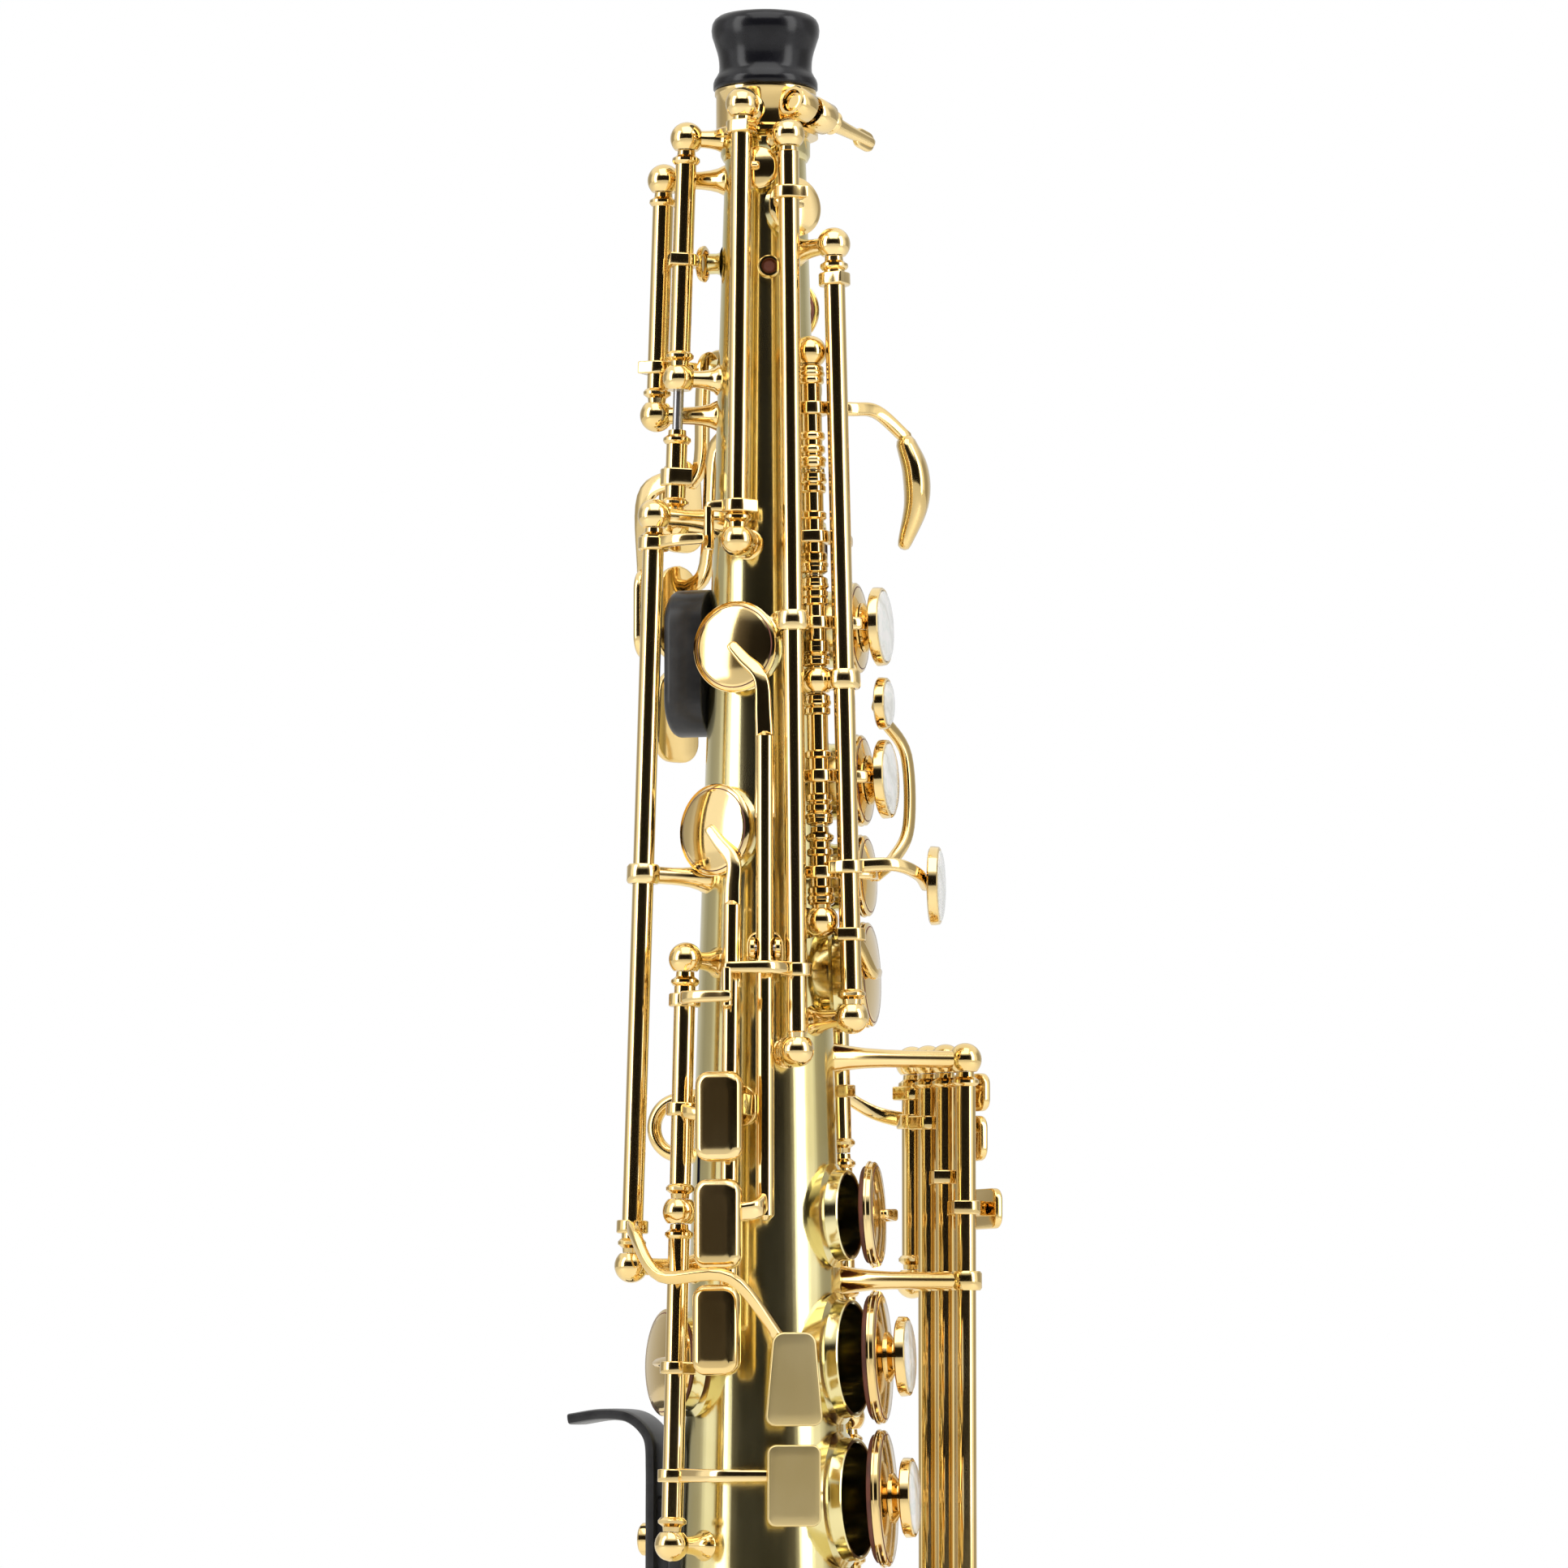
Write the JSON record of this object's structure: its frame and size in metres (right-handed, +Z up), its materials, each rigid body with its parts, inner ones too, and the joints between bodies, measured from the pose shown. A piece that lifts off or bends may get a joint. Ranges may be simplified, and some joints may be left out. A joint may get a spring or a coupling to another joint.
{
  "type": "soprano saxophone",
  "caption": "Straight soprano saxophone body, bell down, with its full key work on ball posts, finger pearls, thumb hook, strap ring and an end plug in the neck receiver.",
  "frame": {"origin": "centre of the bell rim, on the plane that the rim stands on", "axes": "+Z up the bore from the bell to the neck end, +X the front of the finger stacks, -Y the player's right-hand side"},
  "size_m": [0.093, 0.093, 0.582],
  "materials": {
    "body_lacquer": "pale gold lacquer, polished",
    "key_lacquer": "gold lacquer, polished",
    "fitting_lacquer": "gold lacquer, polished",
    "pivot_steel": "ground steel",
    "spring_steel": "blued steel",
    "thumb_black": "black, satin",
    "plug_resin": "black, glossy",
    "pad_leather": "reddish brown kid leather",
    "pearl": "mother-of-pearl, polished"
  },
  "bodies": {
    "root": {"body_tube": "body_lacquer", "bell": "body_lacquer", "neck_receiver": "fitting_lacquer", "posts": "fitting_lacquer", "pivot_rods": "pivot_steel", "thumb_rest": "thumb_black", "thumb_hook": "thumb_black", "strap_ring": "fitting_lacquer", "key_guards": "fitting_lacquer", "needle_springs": "spring_steel"},
    "octave_thumb_lever": {"octave_thumb_lever": "key_lacquer"},
    "octave_upper_key": {"octave_upper_key": "key_lacquer"},
    "octave_lower_key": {"octave_lower_key": "key_lacquer"},
    "high_fsharp_touch": {"high_fsharp_touch": "key_lacquer"},
    "high_fsharp_cup": {"high_fsharp_cup": "key_lacquer"},
    "high_e_touch": {"high_e_touch": "key_lacquer"},
    "high_e_cup": {"high_e_cup": "key_lacquer"},
    "side_c_key": {"side_c_key": "key_lacquer"},
    "side_bflat_key": {"side_bflat_key": "key_lacquer"},
    "fsharp_trill_key": {"fsharp_trill_key": "key_lacquer"},
    "palm_d_key": {"palm_d_key": "key_lacquer"},
    "palm_eflat_key": {"palm_eflat_key": "key_lacquer"},
    "palm_f_key": {"palm_f_key": "key_lacquer"},
    "front_f_key": {"front_f_key": "key_lacquer"},
    "a_key": {"a_key": "key_lacquer", "a_pad": "pad_leather", "a_pearl": "pearl"},
    "c_vent_key": {"c_vent_key": "key_lacquer"},
    "b_key": {"b_key": "key_lacquer", "b_pad": "pad_leather", "b_pearl": "pearl"},
    "bis_key": {"bis_key": "key_lacquer", "bis_pad": "pad_leather", "bis_pearl": "pearl"},
    "g_key": {"g_key": "key_lacquer", "g_pad": "pad_leather", "g_pearl": "pearl"},
    "gsharp_touch": {"gsharp_touch": "key_lacquer"},
    "gsharp_cup": {"gsharp_cup": "key_lacquer"},
    "f_key": {"f_key": "key_lacquer", "f_pad": "pad_leather", "f_pearl": "pearl"},
    "fsharp_aux_key": {"fsharp_aux_key": "key_lacquer", "fsharp_aux_pad": "pad_leather"},
    "e_key": {"e_key": "key_lacquer", "e_pad": "pad_leather", "e_pearl": "pearl"},
    "d_key": {"d_key": "key_lacquer", "d_pad": "pad_leather", "d_pearl": "pearl"},
    "low_eflat_key": {"low_eflat_key": "key_lacquer"},
    "low_c_key": {"low_c_key": "key_lacquer", "low_c_pad": "pad_leather"},
    "low_csharp_key": {"low_csharp_key": "key_lacquer"},
    "low_b_key": {"low_b_key": "key_lacquer", "low_b_pad": "pad_leather"},
    "low_bflat_key": {"low_bflat_key": "key_lacquer", "low_bflat_pad": "pad_leather"},
    "end_plug": {"end_plug": "plug_resin"},
    "neck_screw": {"neck_screw": "fitting_lacquer"}
  },
  "joints": [
    {"name": "octave_thumb_lever_pivot", "type": "hinge", "parent": "root", "child": "octave_thumb_lever", "pos_m": [-0.0174, -0.00703, 0.485], "axis": [-0.0287, -0.0116, -0.9995], "range_deg": [0, 12], "stiffness_Nm_per_rad": 0.02},
    {"name": "octave_upper_key_pivot", "type": "hinge", "parent": "root", "child": "octave_upper_key", "pos_m": [-0.01611, -0.00651, 0.53], "axis": [0.0287, 0.0116, 0.9995], "range_deg": [0, 12]},
    {"name": "octave_lower_key_pivot", "type": "hinge", "parent": "root", "child": "octave_lower_key", "pos_m": [-0.02245, -0.00276, 0.522], "axis": [0.0308, 0.0038, 0.9995], "range_deg": [0, 10], "stiffness_Nm_per_rad": 0.02},
    {"name": "high_fsharp_touch_pivot", "type": "hinge", "parent": "root", "child": "high_fsharp_touch", "pos_m": [-0.02084, -0.01748, 0.4], "axis": [0.0237, 0.0199, 0.9995], "range_deg": [0, 5], "stiffness_Nm_per_rad": 0.02},
    {"name": "high_fsharp_cup_pivot", "type": "hinge", "parent": "root", "child": "high_fsharp_cup", "pos_m": [-0.00028, -0.01623, 0.515], "axis": [-0.0005, -0.031, -0.9995], "range_deg": [0, 9]},
    {"name": "high_e_touch_pivot", "type": "hinge", "parent": "root", "child": "high_e_touch", "pos_m": [-0.01106, -0.02081, 0.356], "axis": [0.0145, 0.0274, 0.9995], "range_deg": [0, 10], "stiffness_Nm_per_rad": 0.02},
    {"name": "high_e_cup_pivot", "type": "hinge", "parent": "root", "child": "high_e_cup", "pos_m": [0.01085, -0.01494, 0.456], "axis": [0.0182, -0.0251, -0.9995], "range_deg": [0, 10]},
    {"name": "side_c_pivot", "type": "hinge", "parent": "root", "child": "side_c_key", "pos_m": [0.00615, -0.01893, 0.38382], "axis": [0.9511, 0.309, 0], "range_deg": [0, 1.8], "stiffness_Nm_per_rad": 0.05},
    {"name": "side_bflat_pivot", "type": "hinge", "parent": "root", "child": "side_bflat_key", "pos_m": [-0.00073, -0.02088, 0.35183], "axis": [0.9994, -0.0349, 0], "range_deg": [0, 3], "stiffness_Nm_per_rad": 0.05},
    {"name": "fsharp_trill_pivot", "type": "hinge", "parent": "root", "child": "fsharp_trill_key", "pos_m": [-0.01194, -0.02245, 0.296], "axis": [0.0145, 0.0274, 0.9995], "range_deg": [0, 9], "stiffness_Nm_per_rad": 0.02},
    {"name": "palm_d_pivot", "type": "hinge", "parent": "root", "child": "palm_d_key", "pos_m": [-0.01048, 0.01249, 0.461], "axis": [0.0199, -0.0237, 0.9995], "range_deg": [0, 8], "stiffness_Nm_per_rad": 0.02},
    {"name": "palm_eflat_pivot", "type": "hinge", "parent": "root", "child": "palm_eflat_key", "pos_m": [-0.01002, 0.01195, 0.484], "axis": [0.0199, -0.0237, 0.9995], "range_deg": [0, 8], "stiffness_Nm_per_rad": 0.02},
    {"name": "palm_f_pivot", "type": "hinge", "parent": "root", "child": "palm_f_key", "pos_m": [-0.00951, 0.01133, 0.51], "axis": [0.0199, -0.0237, 0.9995], "range_deg": [0, 8], "stiffness_Nm_per_rad": 0.02},
    {"name": "front_f_pivot", "type": "hinge", "parent": "root", "child": "front_f_key", "pos_m": [0.01279, -0.00831, 0.495], "axis": [-0.026, 0.0169, 0.9995], "range_deg": [0, 8], "stiffness_Nm_per_rad": 0.02},
    {"name": "a_pivot", "type": "hinge", "parent": "root", "child": "a_key", "pos_m": [0.01464, -0.00951, 0.424], "axis": [-0.026, 0.0169, 0.9995], "range_deg": [0, 10], "stiffness_Nm_per_rad": 0.02},
    {"name": "c_vent_pivot", "type": "hinge", "parent": "root", "child": "c_vent_key", "pos_m": [0.01339, -0.0087, 0.472], "axis": [-0.026, 0.0169, 0.9995], "range_deg": [0, 10]},
    {"name": "b_pivot", "type": "hinge", "parent": "root", "child": "b_key", "pos_m": [0.01391, -0.00903, 0.452], "axis": [-0.026, 0.0169, 0.9995], "range_deg": [0, 10], "stiffness_Nm_per_rad": 0.02},
    {"name": "bis_pivot", "type": "hinge", "parent": "root", "child": "bis_key", "pos_m": [0.01526, -0.00991, 0.4], "axis": [-0.026, 0.0169, 0.9995], "range_deg": [0, 10], "stiffness_Nm_per_rad": 0.02},
    {"name": "g_pivot", "type": "hinge", "parent": "root", "child": "g_key", "pos_m": [0.01995, -0.00939, 0.45], "axis": [-0.028, 0.0132, 0.9995], "range_deg": [0, 8], "stiffness_Nm_per_rad": 0.02},
    {"name": "gsharp_touch_pivot", "type": "hinge", "parent": "root", "child": "gsharp_touch", "pos_m": [0.02146, 0.03435, 0.34], "axis": [0, 0, -1], "range_deg": [0, 6], "stiffness_Nm_per_rad": 0.02},
    {"name": "gsharp_cup_pivot", "type": "hinge", "parent": "root", "child": "gsharp_cup", "pos_m": [0.0112, 0.016, 0.357], "axis": [0.0178, 0.0254, -0.9995], "range_deg": [0, 9]},
    {"name": "f_pivot", "type": "hinge", "parent": "root", "child": "f_key", "pos_m": [0.01216, 0.01737, 0.303], "axis": [0.0178, 0.0254, -0.9995], "range_deg": [0, 9], "stiffness_Nm_per_rad": 0.02},
    {"name": "fsharp_aux_pivot", "type": "hinge", "parent": "root", "child": "fsharp_aux_key", "pos_m": [0.0117, 0.01671, 0.329], "axis": [0.0178, 0.0254, -0.9995], "range_deg": [0, 9]},
    {"name": "e_pivot", "type": "hinge", "parent": "root", "child": "e_key", "pos_m": [0.01273, 0.01818, 0.271], "axis": [0.0178, 0.0254, -0.9995], "range_deg": [0, 9], "stiffness_Nm_per_rad": 0.02},
    {"name": "d_pivot", "type": "hinge", "parent": "root", "child": "d_key", "pos_m": [0.01328, 0.01897, 0.24], "axis": [0.0178, 0.0254, -0.9995], "range_deg": [0, 9], "stiffness_Nm_per_rad": 0.02},
    {"name": "low_eflat_pivot", "type": "hinge", "parent": "root", "child": "low_eflat_key", "pos_m": [0.01685, -0.01807, 0.19], "axis": [-0.0211, 0.0227, 0.9995], "range_deg": [0, 8], "stiffness_Nm_per_rad": 0.02},
    {"name": "low_c_pivot", "type": "hinge", "parent": "root", "child": "low_c_key", "pos_m": [0.01806, -0.01936, 0.133], "axis": [-0.0211, 0.0227, 0.9995], "range_deg": [0, 8], "stiffness_Nm_per_rad": 0.02},
    {"name": "low_csharp_pivot", "type": "hinge", "parent": "root", "child": "low_csharp_key", "pos_m": [0.02603, 0.03102, 0.256], "axis": [0, 0, -1], "range_deg": [0, 6], "stiffness_Nm_per_rad": 0.02},
    {"name": "low_b_pivot", "type": "hinge", "parent": "root", "child": "low_b_key", "pos_m": [0.03084, 0.02777, 0.219], "axis": [0, 0, 1], "range_deg": [0, 7], "stiffness_Nm_per_rad": 0.02},
    {"name": "low_bflat_pivot", "type": "hinge", "parent": "root", "child": "low_bflat_key", "pos_m": [0.03615, 0.02438, 0.203], "axis": [0, 0, 1], "range_deg": [0, 7], "stiffness_Nm_per_rad": 0.02},
    {"name": "end_plug_slide", "type": "slide", "parent": "root", "child": "end_plug", "axis": [0, 0, 1], "range_m": [0, 0.03]},
    {"name": "neck_screw_turn", "type": "hinge", "parent": "root", "child": "neck_screw", "pos_m": [0.01113, -0.0045, 0.5606], "axis": [-0.3664, -0.9069, 0.2079], "range_deg": [-90, 90]}
  ],
  "couplings": [
    {"joint": "octave_upper_key_pivot", "follows": "octave_thumb_lever_pivot", "ratio": 1},
    {"joint": "high_fsharp_cup_pivot", "follows": "high_fsharp_touch_pivot", "ratio": 1.8},
    {"joint": "high_e_cup_pivot", "follows": "high_e_touch_pivot", "ratio": 1},
    {"joint": "c_vent_pivot", "follows": "a_pivot", "ratio": 1},
    {"joint": "gsharp_cup_pivot", "follows": "gsharp_touch_pivot", "ratio": 1.5},
    {"joint": "fsharp_aux_pivot", "follows": "f_pivot", "ratio": 1}
  ]
}
